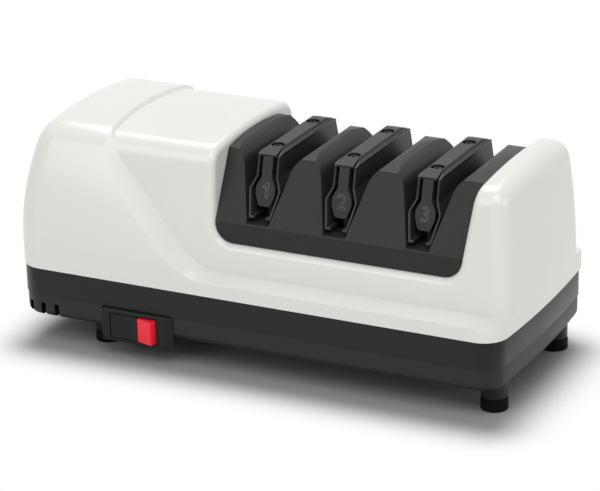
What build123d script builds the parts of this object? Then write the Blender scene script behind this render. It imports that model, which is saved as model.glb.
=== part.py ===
"""Three-stage electric knife sharpener, bench-top, as an assembly of separate pieces.

Millimetres. +X runs along the machine from the motor hood to the end block, +Y to the back,
+Z up. The origin is on the bench under the middle of the machine.
"""
from build123d import *
import math
import os

# ---------------------------------------------------------------- base, feet and outline
BASE_LENGTH = 254.0        # black base, end to end
BASE_WIDTH = 112.0         # black base, front to back
END_BOW = 2.7              # bulge of both ends in plan
BASE_CORNER = 12.0         # plan radius of the base corners
COVER_OVERHANG_END = 0.9   # cover stands out past the base at each end
COVER_OVERHANG_SIDE = 0.6  # and at front and back
FOOT_HEIGHT = 6.5          # rubber part of a foot
FOOT_RADIUS = 6.5
FOOT_GROOVE = (0.7, 1.3)   # depth and height of the groove round the top of the rubber
FOOT_POCKET = (3.8, 2.6)   # radius and depth of the pocket for the screw head
STEM_RADIUS = 6.2
FOOT_INSET_END = (40.8, 10.4)   # foot centres from the left and the right end
FOOT_INSET_SIDE = 18.2
PAN_BOTTOM = 14.4          # heights above the bench
SEAM_HEIGHT = 25.3         # joint between pan and frame
RIM_HEIGHT = 39.2          # joint between frame and cover
BASE_WALL = 2.5
PAN_EDGE_ROUND = 3.0
PAN_INSET = 0.4            # pan stands back from the frame
DECK_THICKNESS = 2.5
LIP_HEIGHT = 2.6           # frame lip inside the cover
LIP_THICKNESS = 1.5
SLIP = 0.3                 # clearance between pieces that are only set together
VENT_INSET = (8.0, 15.4, 22.8)  # vents from the left end
VENT_WIDTH = 2.5
VENT_TOP = 21.2
VENT_DEPTH = 6.0           # reach of a vent under the pan

# ---------------------------------------------------------------- cover
COVER_WALL = 2.2
LEAN_START = 51.8          # height where front, back and left end begin to lean inwards
LEAN_RADIUS = 115.0        # front and back
LEFT_LEAN_RADIUS = 175.0
RIGHT_LEAN_RADIUS = 344.0  # right end, much straighter
HOOD_TOP = 111.0           # crown of the motor hood
ROOF_TOP = 109.3           # crown of the roof beside the hood
BLOCK_TOP = 108.4          # crown of the end block
ROOF_RADIUS = 267.0        # crown radius, front to back
SHOULDER_RADIUS = 10.0     # front and rear edges of the roof
HOOD_SHOULDER = 16.0       # and of the hood
HOOD_CORNER = 14.0         # round of the left end
SHOULDER_HEIGHT = 99.8
RECESS_INSET = (10.3, 13.6)  # set-back body from the base side, just over the ledge and at the shoulder
LEDGE_OUTER = 45.7         # height of the ledge at its outer edge
LEDGE_INNER = 48.3         # and where it meets the set-back body
SLANT_SHARES = (-0.130, -0.3425)  # hood's slanting edge: at the ledge and at the shoulder, as
                                  # shares of the base length
SLANT_STEP_FOOT = 2.1      # width of the slanting step at its foot
SLANT_STEP_TOP = 9.0       # and at its top
SLANT_BLEND = 30.0         # radius between slant and ledge
SADDLE_SHARES = (-0.089, 0.396)  # walls of the saddle opening, as shares of the base length
SADDLE_FLOOR = 61.9
SADDLE_LEAN = 10.0         # degrees, right wall
SADDLE_CORNER = 9.0
SADDLE_EDGE = 3.5          # rounded edge of the opening
BLOCK_EDGE = 9.0           # rounded edge of the end block
SEAT_WINDOW_Y = 38.0       # half depth of the window under the guide module
SEAT_MARGIN = 4.0          # seat left and right of that window

# ---------------------------------------------------------------- shaft, discs and stages
AXIS_Z = 59.2              # height of the drive shaft
SHAFT_RADIUS = 4.0
SHAFT_INSET = (6.0, 8.0)   # shaft ends from the left and right end of the base
RUN_CLEARANCE = 0.05       # radial, in bearings and disc bores
STAGE_SHARES = (-0.0024, 0.152, 0.3165)  # stage centres, as shares of the base length
DISC_RADIUS = 19.5
DISC_BACK = 2.0            # distance of a disc's back from the stage centre
DISC_RIM = 1.5             # thickness at the rim
DISC_CONE_ANGLE = 20.0     # degrees, grinding face against the disc's plane
DISC_FACE_INNER = 9.0      # inner radius of the grinding face
DISC_HUB_RADIUS = 7.6
DISC_HUB_LENGTH = 2.3
SPRING_RADIUS = 6.2        # mean coil radius
SPRING_WIRE = 1.2          # wire diameter
SPRING_TURNS = 3.5
SPRING_POCKET = 3.0        # depth of its pocket in each disc
SPRING_ROOM = 0.35
PIN_RADIUS = 1.25
PIN_REACH = 6.0
PIN_SET_IN = 1.65          # pin centre from the face of the disc's hub
PIN_END_GAP = 0.25         # pin to the bottom of the hub's slot, at rest

# ---------------------------------------------------------------- guide module
FIN_LOW_Y = 42.2           # half depth of the module up to the crease
FIN_CREASE = 72.1          # height where the fin fronts begin to lean
FIN_HIGH_Y = 26.5          # half depth at the fin tops
FIN_TOP = 105.0            # crown of the two middle fins
FIN_END_TOP = 106.2        # crown of the two end fins
FIN_DROP = 2.6             # front and back of a fin's top below its crown
SLOT_FLOOR = 72.8
SLOT_FLOOR_HALF = 5.6
GUIDE_ANGLE = 15.0         # degrees, guide faces against the vertical
FIN_ROUND = 12.0           # between guide face and fin top
MODULE_WALL = 2.2
DISC_ROOM = 1.2            # free space round each turning disc
POST_INSET = 8.6           # posts from the walls of the opening
POST_Y = 31.0
POST_RADIUS = 4.2
POST_SCREW_DEPTH = 8.0
PASSAGE_HALF = 6.5         # way for the shaft through cover and module

# ---------------------------------------------------------------- guide cores and leaves
CORE_TOP = 102.4
NECK_HALF = 2.5
NECK_LOW = 93.2
BULB_HALF = 4.9
BULB_HIGH = 88.5
BULB_LOW = 84.9
TONGUE_BOTTOM = 79.7
TONGUE_BOTTOM_HALF = 2.9
TONGUE_ROUND = 1.6
CORE_HIGH_Y = 28.8         # half depth of a core at its top
CORE_LOW_Y = 34.6          # and at the bottom of its tongue
LEG_Y = (20.4, 28.5)       # legs that stand on the module's floor
LEG_HALF = 1.2
STRIP_HALF = 4.05
STRIP_TOP = 105.2
STRIP_NOSE = 103.4         # height of a strip at its ends
STRIP_FLAT_Y = 22.5        # half length of its flat top
STRIP_BACK = 2.6           # the back end stands this much further out
STRIP_ROUND = 1.0
STRIP_SCREW_Y = 18.5
STRIP_SCREW = (2.75, 1.2)  # radii of head and shank
STRIP_SCREW_LENGTH = 8.0
STRIP_BORE = (3.2, 1.8)    # radius and depth of the counterbore
LEAF_THICKNESS = 1.1
LEAF_GAP = 0.3             # leaf to strip
LEAF_TOP = 104.6
LEAF_SHOULDER = (6.0, 103.4)
LEAF_NECK = (5.4, 102.0)
LEAF_WAIST = (5.6, 93.0)
LEAF_BULGE = (8.2, 87.5)
LEAF_FOOT = (5.7, 75.1)
LEAF_TOE = 1.6             # inward toe at the ends of the leaf's foot
LEAF_BEND = 2.5
LEAF_SIDE = ((28.1, 102.8), (30.7, 93.0), (33.7, 87.3), (39.6, 75.1))  # front edge: half depth, height
LEAF_BACK = 4.5            # the back edge stands this much further out

# ---------------------------------------------------------------- switch
SWITCH_INSET = 66.5        # middle of the switch from the left end
SWITCH_Z = 17.0
BEZEL_HALF_LENGTH = 17.1
BEZEL_HALF_HEIGHT = 8.3
BEZEL_PROUD = 2.0
BEZEL_SLOPE = (0.6, 3.6)   # sloping left and right side
BEZEL_ROUND = 0.8
SWITCH_WALL = 1.4
SWITCH_DEPTH = 18.0
SWITCH_BACK = 3.0
PIVOT_DEPTH = 0.8          # rocker pivot behind the base front
ROCKER_REACH = 12.4        # radius of the rocker's ends about its pivot
ROCKER_HALF_HEIGHT = 6.0
ROCKER_FACE = 2.9          # pivot to the middle of the rocker's face
ROCKER_BACK = 4.0
ROCKER_DISH = 8.5          # degrees, each half of the face
ROCKER_TILT = 7.0          # degrees, either side of the middle
ROCKER_GAP = 0.35
AXLE_RADIUS = 1.5
AXLE_REACH = 0.8           # axle past the rocker's gap into the wall
LENS_START = 3.4
LENS_DEPTH = 2.6
TERMINAL = (0.8, 8.0, 4.8)
TERMINAL_X = (-8.0, 0.0, 8.0)
TERMINAL_RISE = 1.2        # terminals above the pan's floor

# ---------------------------------------------------------------- motor
STATOR_INSET = 26.0        # stator from the left end
STATOR_LENGTH = 30.0
STATOR_SIZE = 60.0
STATOR_CORNER = 6.0
STATOR_BORE = 20.6
POLE_HALF = 14.0
ROTOR_RADIUS = 20.0
END_RING = (9.3, 2.0)      # radius and length
COIL_Y = (18.2, 25.4)
COIL_RISE = (10.2, 19.7)   # above and below the shaft
COIL_END_GAP = 1.0
COIL_END_LENGTH = 5.0
COIL_ROOM = 0.2
BRACKET_THICKNESS = 2.4
BRACKET_GAP = 6.8          # bracket plate to stator
BRACKET_MARGIN = 7.0       # bracket past the stator, each side
BRACKET_HALF_HEIGHT = 9.5
BRACKET_LEG = 7.0
BRACKET_FOOT = 9.0         # length of the foot on the deck
BEARING_RADIUS = 6.6
BEARING_LENGTH = 8.0
HUB_RADIUS = 9.0
BOLT_INSET = 3.5           # bolt centres from the stator side
BOLT = (2.0, 3.4, 2.0)     # radius of shank and head, head height
SPACER_RADIUS = 4.0
FAN_INSET = 6.8            # fan from the left end
FAN_LENGTH = 6.0
FAN_RADIUS = 19.0
FAN_HUB = 7.0
FAN_PLATE = 1.4
FAN_BLADES = 9
END_BEARING_INSET = 13.8   # far bearing from the right end
END_BRACKET_HALF = 15.0
END_SCREW_Y = 9.5
MOTOR_WINDOW_ROOM = 2.0

# ---------------------------------------------------------------- clean-out door and inlet
DOOR_SIZE = (52.0, 38.0)
DOOR_CORNER = 3.0
DOOR_LEDGE = 2.0
DOOR_THICKNESS = 1.6
DOOR_RIM = (1.4, 5.0)      # thickness and height of the upstanding rim
MAGNET = (40.0, 14.0, 3.0)
SWARF_WINDOW = (14.0, 22.0)  # past the outer stages, and half depth
GLAND_INSET = 27.0         # inlet from the left end
GLAND_DROP = 7.9           # below the rim
GLAND_BORE = 3.2
GLAND_BODY = 4.4
GLAND_FLANGE = (5.4, 1.8)  # radius and thickness
GLAND_REACH = 5.2          # past the rear wall

# ---------------------------------------------------------------- screws
SCREW_RADIUS = 1.6
SCREW_HEAD = (3.0, 1.8)    # radius and height
THREAD_CLEARANCE = 0.05
BOSS_RADIUS = 3.6
COVER_SCREW_INSETS = ((21.0, 14.8), (10.0, 26.5))  # from end and side: left pair, right pair
COVER_SCREW_DEPTH = 12.0
FOOT_SCREW_DEPTH = 15.0
MOTOR_SCREW_DEPTH = 6.0

# ---------------------------------------------------------------- derived sizes
END, SIDE = BASE_LENGTH / 2, BASE_WIDTH / 2
COVER_END = END + COVER_OVERHANG_END
COVER_SIDE = SIDE + COVER_OVERHANG_SIDE
RECESS_LOW_Y, RECESS_HIGH_Y = SIDE - RECESS_INSET[0], SIDE - RECESS_INSET[1]
SLANT_FOOT_X, SLANT_TOP_X = [share * BASE_LENGTH for share in SLANT_SHARES]
SADDLE_LEFT, SADDLE_RIGHT = [share * BASE_LENGTH for share in SADDLE_SHARES]
STAGES = [share * BASE_LENGTH for share in STAGE_SHARES]
SHAFT_ENDS = (SHAFT_INSET[0] - END, END - SHAFT_INSET[1])
DECK_BOTTOM = RIM_HEIGHT - DECK_THICKNESS
PAN_FLOOR = PAN_BOTTOM + BASE_WALL
SKY = HOOD_TOP + 20        # a height above everything
FAR = BASE_LENGTH          # a length past everything
BELOW = RIM_HEIGHT - 1.0   # cover shapes start a little below its rim
FACE_START = DISC_BACK + DISC_RIM
FACE_END = FACE_START + (DISC_RADIUS - DISC_FACE_INNER) * math.tan(math.radians(DISC_CONE_ANGLE))
HUB_END = FACE_END + DISC_HUB_LENGTH
PIN_X = HUB_END - PIN_SET_IN
RUN_RADIUS = SHAFT_RADIUS + RUN_CLEARANCE
SCREW_BORE = SCREW_RADIUS + THREAD_CLEARANCE
SEAT_Z = SADDLE_FLOOR + SLIP
LEAN = math.tan(math.radians(SADDLE_LEAN))
FOOT_PLACES = [(x, y) for x in (FOOT_INSET_END[0] - END, END - FOOT_INSET_END[1])
               for y in (FOOT_INSET_SIDE - SIDE, SIDE - FOOT_INSET_SIDE)]
POST_PLACES = [(x, y) for x in (SADDLE_LEFT + POST_INSET, SADDLE_RIGHT - POST_INSET)
               for y in (-POST_Y, POST_Y)]
COVER_SCREWS = [(side * (END - from_end), y)
                for side, (from_end, from_side) in zip((-1, 1), COVER_SCREW_INSETS)
                for y in (from_side - SIDE, SIDE - from_side)]
STATOR_X = (STATOR_INSET - END, STATOR_INSET + STATOR_LENGTH - END)
FAN_X = (FAN_INSET - END, FAN_INSET + FAN_LENGTH - END)
BOLT_Y = STATOR_SIZE / 2 - BOLT_INSET
BRACKET_HALF_WIDTH = STATOR_SIZE / 2 + BRACKET_MARGIN
PLATE_REAR = STATOR_X[0] - BRACKET_GAP - BRACKET_THICKNESS / 2
PLATE_FRONT = STATOR_X[1] + BRACKET_GAP + BRACKET_THICKNESS / 2
MOTOR_SCREWS = [(x, s * (BRACKET_HALF_WIDTH - BRACKET_LEG / 2)) for s in (-1, 1)
                for x in (PLATE_REAR - (BRACKET_THICKNESS + BRACKET_FOOT) / 2,
                          PLATE_FRONT + (BRACKET_THICKNESS + BRACKET_FOOT) / 2)]
END_BEARING_X = END - END_BEARING_INSET
END_SCREWS = [(END_BEARING_X + (BRACKET_THICKNESS + BRACKET_FOOT) / 2, y)
              for y in (-END_SCREW_Y, END_SCREW_Y)]
SWITCH_X = SWITCH_INSET - END
BEZEL_FACE_Y = SIDE + BEZEL_PROUD
ROCKER_PIVOT_Y = SIDE - PIVOT_DEPTH
DOOR_X = STAGES[1]
GLAND_X, GLAND_Z, GLAND_END_Y = GLAND_INSET - END, RIM_HEIGHT - GLAND_DROP, SIDE + GLAND_REACH

os.makedirs("parts", exist_ok=True)


def save(name, shape):
    """Write one piece to its STEP file."""
    export_step(shape, f"parts/{name}.step")


def block(x0, x1, y0, y1, z0, z1):
    """Box between two corners."""
    return Pos((x0 + x1) / 2, (y0 + y1) / 2, (z0 + z1) / 2) * Box(x1 - x0, y1 - y0, z1 - z0)


def along_x(face, x0, x1):
    """Extrude a face drawn in (y, z) from x0 to x1."""
    return Pos(x0, 0, 0) * extrude(Plane.YZ * face, x1 - x0)


def along_y(face, y0, y1):
    """Extrude a face drawn in (x, z) from y0 to y1."""
    return Pos(0, y0, 0) * extrude(Plane.XZ * face, -(y1 - y0))


def polygon(points):
    """Face with straight sides."""
    return make_face(Polyline(*points, close=True))


def rounded(face, corners, radius):
    """Round the corners of a face that lie at the given points."""
    for corner in corners:
        face = fillet(face.vertices().sort_by_distance((corner[0], corner[1], 0))[0], radius)
    return face


def rod_x(radius, x0, x1, y=0.0, z=AXIS_Z):
    """Round bar along X."""
    return Pos((x0 + x1) / 2, y, z) * Rot(0, 90, 0) * Cylinder(radius, x1 - x0)


def rod_y(radius, y0, y1, x, z):
    """Round bar along Y."""
    return Pos(x, (y0 + y1) / 2, z) * Rot(90, 0, 0) * Cylinder(radius, y1 - y0)


def rod_z(radius, z0, z1, x=0.0, y=0.0):
    """Upright round bar."""
    return Pos(x, y, (z0 + z1) / 2) * Cylinder(radius, z1 - z0)


def turned(points):
    """Solid of revolution about the shaft axis, from points (x, radius)."""
    return Pos(0, 0, AXIS_Z) * revolve(polygon(points), Axis.X)


def ring_x(outer, inner, x0, x1, y=0.0, z=AXIS_Z):
    """Tube along X."""
    return rod_x(outer, x0, x1, y, z) - rod_x(inner, x0 - 1, x1 + 1, y, z)


def group(solids):
    """Several separate solids as one node."""
    return Compound(children=list(solids))


def slab(length, width, corner, z0, z1):
    """Rounded rectangle in plan, between two heights."""
    return Pos(0, 0, z0) * extrude(RectangleRounded(length, width, corner), z1 - z0)


def bowed_slab(half_length, half_width, corner, z0, z1):
    """The same with bulging ends, as the base has."""
    x, y = half_length - END_BOW, half_width
    ends = [ThreePointArc((s * x, -y), (s * half_length, 0), (s * x, y)) for s in (-1, 1)]
    sides = [Line((-x, t * y), (x, t * y)) for t in (-1, 1)]
    face = make_face(ends + sides)
    return Pos(0, 0, z0) * extrude(fillet(face.vertices(), corner), z1 - z0)


def screw_up(x, y, seat, tip):
    """Screw driven upwards: its head hangs below the seat."""
    return rod_z(SCREW_HEAD[0], seat - SCREW_HEAD[1], seat, x, y) + rod_z(SCREW_RADIUS, seat, tip, x, y)


def screw_down(x, y, seat, tip):
    """Screw driven downwards: its head lies on the seat."""
    return rod_z(SCREW_HEAD[0], seat, seat + SCREW_HEAD[1], x, y) + rod_z(SCREW_RADIUS, tip, seat, x, y)


# ================================================================ cover
def lean(height, radius):
    """How far a leaning face has moved inwards at a height."""
    rise = max(height - LEAN_START, 0.0)
    return radius - math.sqrt(radius * radius - rise * rise)


def leaning_side(reach, radius, sign):
    """One side of an outline: upright to the start of the lean, then an arc inwards."""
    mid = (LEAN_START + SKY) / 2
    points = [(sign * (reach - lean(z, radius)), z) for z in (BELOW, LEAN_START, mid, SKY)]
    return [Line(points[0], points[1]), ThreePointArc(points[1], points[2], points[3])]


def leaning_outline(left, left_radius, right, right_radius):
    """Outline between two leaning sides."""
    sides = leaning_side(left, left_radius, -1) + leaning_side(right, right_radius, 1)
    top = Line(sides[1] @ 1, sides[3] @ 1)
    bottom = Line(sides[0] @ 0, sides[2] @ 0)
    return make_face(sides + [top, bottom])


def bowed_ends(inset):
    """Space between the cover's two leaning ends, which bulge in plan."""
    reach = COVER_END - inset
    face = leaning_outline(reach, LEFT_LEAN_RADIUS, reach, RIGHT_LEAN_RADIUS)
    radius = (COVER_SIDE * COVER_SIDE + END_BOW * END_BOW) / (2 * END_BOW)
    angle = 2 * math.degrees(math.asin(FAR / 2 / radius))
    halves = []
    for side in (-1, 1):
        half = Plane.XZ * (face & (Pos(side * END, SKY / 2) * Rectangle(2 * END, 2 * SKY)))
        middle = side * (COVER_END - radius)
        start = Pos(middle, 0, 0) * Rot(0, 0, -angle / 2) * Pos(-middle, 0, 0) * half
        halves.append(revolve(start, Axis((middle, 0, 0), (0, 0, 1)), angle))
    return halves[0] + halves[1]


def crowned(face, crown, shoulder, inset):
    """Cut a section (y, z) to the crowned roof and round its two shoulders."""
    face = face & (Pos(0, crown - inset - ROOF_RADIUS) * Circle(ROOF_RADIUS))
    return fillet(face.vertices().group_by(Axis.Y)[-1], shoulder - inset)


def hood_section(inset):
    """Cross-section (y, z) of the hood and the lower band."""
    side = COVER_SIDE - inset
    return crowned(leaning_outline(side, LEAN_RADIUS, side, LEAN_RADIUS), HOOD_TOP, HOOD_SHOULDER, inset)


def recess_section(crown, inset):
    """Cross-section (y, z) of the set-back upper body."""
    slope = (RECESS_LOW_Y - RECESS_HIGH_Y) / (SHOULDER_HEIGHT - LEDGE_INNER)
    low, high = [RECESS_LOW_Y + slope * (LEDGE_INNER - z) - inset for z in (BELOW, SKY)]
    face = polygon([(-low, BELOW), (low, BELOW), (high, SKY), (-high, SKY)])
    return crowned(face, crown, SHOULDER_RADIUS, inset)


def slant_outline(share, drop):
    """Outline (x, z) of hood and band: share 0 at their outer faces, 1 at the set-back faces."""
    ledge = LEDGE_OUTER + (LEDGE_INNER - LEDGE_OUTER) * share - drop
    foot = SLANT_FOOT_X + SLANT_STEP_FOOT * share - drop
    top = SLANT_TOP_X + SLANT_STEP_TOP * share - drop
    far_top = foot + (top - foot) * (SKY - ledge) / (SHOULDER_HEIGHT - LEDGE_OUTER)
    path = FilletPolyline((FAR, ledge), (foot, ledge), (far_top, SKY), radius=SLANT_BLEND)
    rest = Polyline((far_top, SKY), (-FAR, SKY), (-FAR, 0), (FAR, 0), (FAR, ledge))
    return make_face(path.edges() + rest.edges())


def stepped_room():
    """Space that hood and band fill: its slanting edge steps inwards towards the middle."""
    outer_y, inner_y = COVER_SIDE + COVER_WALL, RECESS_HIGH_Y - COVER_WALL
    depth = COVER_SIDE - (RECESS_LOW_Y + RECESS_HIGH_Y) / 2
    shares = [(COVER_SIDE - y) / depth for y in (outer_y, inner_y)]
    room = along_y(slant_outline(shares[1], 0.0), -inner_y, inner_y)
    for side in (-1, 1):
        places = sorted(zip((side * outer_y, side * inner_y), shares))
        faces = [Pos(0, y, 0) * (Plane.XZ * slant_outline(share, 0.0)) for y, share in places]
        room = room + loft(faces, ruled=True)
    return room


def end_edges(solid, sign):
    """Edges round one end of a body, without those at its open bottom."""
    limit = 0.7 * COVER_END
    ends = [f for f in solid.faces() if sign * f.normal_at().X > 0.75 and sign * f.center().X > limit]
    edges = [edge for face in ends for edge in face.edges()]
    middles = [tuple(round(v, 3) for v in edge.position_at(0.5)) for edge in edges]
    return [edge for edge, middle in zip(edges, middles)
            if middles.count(middle) == 1 and middle[2] > BELOW + 0.1]


def right_uprights(solid):
    """Upright edges at the right end."""
    return [e for e in solid.edges().filter_by(Axis.Z) if e.center().X > COVER_END - BASE_CORNER]


def cover_body(inset, outer):
    """The cover's solid shape, drawn inset by a wall; the outer one has its stepped hood."""
    profile = bowed_ends(inset)
    hood = along_x(hood_section(inset), -FAR, FAR) & profile
    hood = fillet(end_edges(hood, -1), HOOD_CORNER - inset)
    if outer:
        hood = hood & stepped_room()
        hood = fillet(right_uprights(hood), BASE_CORNER)
    else:
        band = hood & block(-FAR, FAR, -FAR, FAR, 0, LEDGE_OUTER - inset)
        band = fillet(right_uprights(band), BASE_CORNER - inset)
        hood = hood & along_y(slant_outline(0.0, 1.6 * inset), -FAR, FAR)
        hood = (hood & block(-FAR, 0, -FAR, FAR, 0, SKY)) + band
    middle = (SADDLE_LEFT + SADDLE_RIGHT) / 2
    roof = along_x(recess_section(ROOF_TOP, inset), SLANT_TOP_X - HOOD_CORNER, middle) & profile
    end = along_x(recess_section(BLOCK_TOP, inset), middle, FAR) & profile
    end = fillet(end_edges(end, 1), BLOCK_EDGE - inset)
    return hood + roof + end


def saddle_outline(grow):
    """Outline (x, z) of the opening for the guide module, grown outwards by grow."""
    left, floor = SADDLE_LEFT - grow, SADDLE_FLOOR - grow
    right = SADDLE_RIGHT + grow / math.cos(math.radians(SADDLE_LEAN)) - grow * LEAN
    face = polygon([(left, floor), (right, floor), (right + LEAN * (SKY - floor), SKY), (left, SKY)])
    return fillet(face.vertices().group_by(Axis.Y)[0], SADDLE_CORNER + grow)


def saddle_edges(solid):
    """Edges where the opening meets the outside of the cover."""
    keep = []
    for edge in solid.edges():
        middle = edge.position_at(0.5)
        right = SADDLE_RIGHT + LEAN * (middle.Z - SADDLE_FLOOR) + 1
        in_opening = SADDLE_LEFT - 1 < middle.X < right and middle.Z > SADDLE_FLOOR - 1
        low = middle.Z < SADDLE_FLOOR + SADDLE_CORNER + 1
        crosswise = low and edge.bounding_box().size.Y > BASE_WIDTH / 4
        if in_opening and not crosswise:
            keep.append(edge)
    return keep


def top_cover():
    """White moulded cover: its outer shape less the hollow, with bosses for the cover screws."""
    outer = cover_body(0.0, True)
    opening = along_y(saddle_outline(0.0), -FAR, FAR)
    body = outer - opening
    body = fillet(saddle_edges(body), SADDLE_EDGE)
    body = body - (cover_body(COVER_WALL, False) - along_y(saddle_outline(COVER_WALL), -FAR, FAR))
    for x, y in COVER_SCREWS:
        body = body + ((rod_z(BOSS_RADIUS, BELOW, SKY, x, y) & outer) - opening)
        body = body - rod_z(SCREW_BORE, 0, RIM_HEIGHT + COVER_SCREW_DEPTH, x, y)
    body = body - block(-FAR, FAR, -FAR, FAR, 0, RIM_HEIGHT)
    seat = block(SADDLE_LEFT + SEAT_MARGIN, SADDLE_RIGHT - SEAT_MARGIN, -SEAT_WINDOW_Y, SEAT_WINDOW_Y,
                 SADDLE_FLOOR - SADDLE_CORNER, SADDLE_FLOOR + 1)
    passage = block(SADDLE_LEFT - 2 * COVER_WALL, SADDLE_RIGHT + 3 * COVER_WALL,
                    -PASSAGE_HALF, PASSAGE_HALF, 0, AXIS_Z + PASSAGE_HALF)
    return body - seat - passage


# ================================================================ base
def base_frame():
    """Upper base band with deck, lip, posts for the module and bosses for the screws."""
    body = bowed_slab(END, SIDE, BASE_CORNER, SEAM_HEIGHT, RIM_HEIGHT)
    body = body - bowed_slab(END - BASE_WALL, SIDE - BASE_WALL, BASE_CORNER - BASE_WALL,
                             SEAM_HEIGHT, DECK_BOTTOM)
    inset = COVER_WALL + SLIP
    lip = bowed_slab(COVER_END - inset, COVER_SIDE - inset, HOOD_CORNER - inset,
                     RIM_HEIGHT, RIM_HEIGHT + LIP_HEIGHT)
    inset = inset + LIP_THICKNESS
    lip = lip - bowed_slab(COVER_END - inset, COVER_SIDE - inset, HOOD_CORNER - inset,
                           RIM_HEIGHT, RIM_HEIGHT + LIP_HEIGHT)
    body = body + lip
    for x, y in FOOT_PLACES:
        body = body + rod_z(BOSS_RADIUS, PAN_FLOOR, DECK_BOTTOM, x, y)
        body = body - rod_z(SCREW_BORE, PAN_FLOOR - 1, PAN_FLOOR + FOOT_SCREW_DEPTH + 1, x, y)
    for x, y in POST_PLACES:
        body = body + rod_z(POST_RADIUS, RIM_HEIGHT, SEAT_Z, x, y)
        body = body - rod_z(SCREW_BORE, DECK_BOTTOM - 1, SEAT_Z + 1, x, y)
    for x, y in MOTOR_SCREWS + END_SCREWS:
        body = body + rod_z(BOSS_RADIUS, DECK_BOTTOM - MOTOR_SCREW_DEPTH, DECK_BOTTOM, x, y)
        body = body - rod_z(SCREW_BORE, DECK_BOTTOM - MOTOR_SCREW_DEPTH - 1, RIM_HEIGHT + 1, x, y)
    for x, y in COVER_SCREWS:
        body = body - rod_z(SCREW_BORE, DECK_BOTTOM - 1, RIM_HEIGHT + 1, x, y)
    room = STATOR_SIZE / 2 + MOTOR_WINDOW_ROOM
    body = body - block(STATOR_X[0] - MOTOR_WINDOW_ROOM, STATOR_X[1] + MOTOR_WINDOW_ROOM,
                        -room, room, DECK_BOTTOM - 1, RIM_HEIGHT + 1)
    margin, half = SWARF_WINDOW
    body = body - block(STAGES[0] - margin, STAGES[-1] + margin, -half, half,
                        DECK_BOTTOM - 1, RIM_HEIGHT + 1)
    return body - rod_y(GLAND_BODY, SIDE - 2 * BASE_WALL, BASE_WIDTH, GLAND_X, GLAND_Z)


def switch_outline(grow):
    """Space of the switch's box inside the base, grown by grow."""
    half_x = ROCKER_REACH + ROCKER_GAP + SWITCH_WALL + grow
    half_z = ROCKER_HALF_HEIGHT + ROCKER_GAP + SWITCH_WALL + grow
    return block(SWITCH_X - half_x, SWITCH_X + half_x, -SIDE - grow,
                 -SIDE + SWITCH_DEPTH + grow, SWITCH_Z - half_z, SWITCH_Z + half_z)


def base_pan():
    """Bottom pan with foot stems, vents, switch cut-out and clean-out opening."""
    half_length, half_width, corner = END - PAN_INSET, SIDE - PAN_INSET, BASE_CORNER - PAN_INSET
    body = bowed_slab(half_length, half_width, corner, PAN_BOTTOM, SEAM_HEIGHT)
    body = fillet(body.faces().sort_by(Axis.Z)[0].edges(), PAN_EDGE_ROUND)
    body = body - bowed_slab(half_length - BASE_WALL, half_width - BASE_WALL, corner - BASE_WALL,
                             PAN_FLOOR, SEAM_HEIGHT)
    for x, y in FOOT_PLACES:
        body = body + rod_z(STEM_RADIUS, FOOT_HEIGHT, PAN_FLOOR, x, y)
        body = body - rod_z(SCREW_BORE, FOOT_HEIGHT - 1, PAN_FLOOR + 1, x, y)
    for x in [inset - END for inset in VENT_INSET]:
        for y0, y1 in ((-SIDE, -SIDE + VENT_DEPTH), (SIDE - VENT_DEPTH, SIDE)):
            body = body - block(x - VENT_WIDTH / 2, x + VENT_WIDTH / 2, y0, y1, 0, VENT_TOP)
    body = body - switch_outline(SLIP)
    plate = DOOR_THICKNESS + SLIP
    inner = [size - 2 * DOOR_LEDGE for size in DOOR_SIZE]
    body = body - Pos(DOOR_X, 0, 0) * slab(*DOOR_SIZE, DOOR_CORNER, PAN_BOTTOM - 1, PAN_BOTTOM + plate)
    return body - Pos(DOOR_X, 0, 0) * slab(*inner, DOOR_CORNER, PAN_BOTTOM, PAN_FLOOR + 1)


def cleanout_cover():
    """Door in the underside: a plate with a rim that springs into the opening."""
    size = [side - 2 * SLIP for side in DOOR_SIZE]
    top = PAN_BOTTOM + DOOR_THICKNESS
    rim = [side - 2 * (DOOR_LEDGE + SLIP) for side in DOOR_SIZE]
    hollow = [side - 2 * DOOR_RIM[0] for side in rim]
    body = slab(*size, DOOR_CORNER - SLIP, PAN_BOTTOM, top)
    body = body + slab(*rim, DOOR_CORNER - SLIP, top, top + DOOR_RIM[1])
    body = body - slab(*hollow, DOOR_CORNER - DOOR_RIM[0] - SLIP, top, top + DOOR_RIM[1])
    return Pos(DOOR_X, 0, 0) * body


def magnet():
    """Bar magnet that lies in the clean-out door and holds the metal dust."""
    top = PAN_BOTTOM + DOOR_THICKNESS
    return block(DOOR_X - MAGNET[0] / 2, DOOR_X + MAGNET[0] / 2, -MAGNET[1] / 2, MAGNET[1] / 2,
                 top, top + MAGNET[2])


def rubber_foot(x, y):
    """Round rubber foot with a groove under the stem and a pocket for the screw head."""
    depth, height = FOOT_GROOVE
    body = rod_z(FOOT_RADIUS, 0, FOOT_HEIGHT - height, x, y)
    body = body + rod_z(FOOT_RADIUS - depth, FOOT_HEIGHT - height, FOOT_HEIGHT, x, y)
    body = fillet(body.edges().group_by(Axis.Z)[0], FOOT_GROOVE[0])
    body = body - rod_z(FOOT_POCKET[0], -1, FOOT_POCKET[1], x, y)
    return body - rod_z(SCREW_BORE, -1, FOOT_HEIGHT + 1, x, y)


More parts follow.
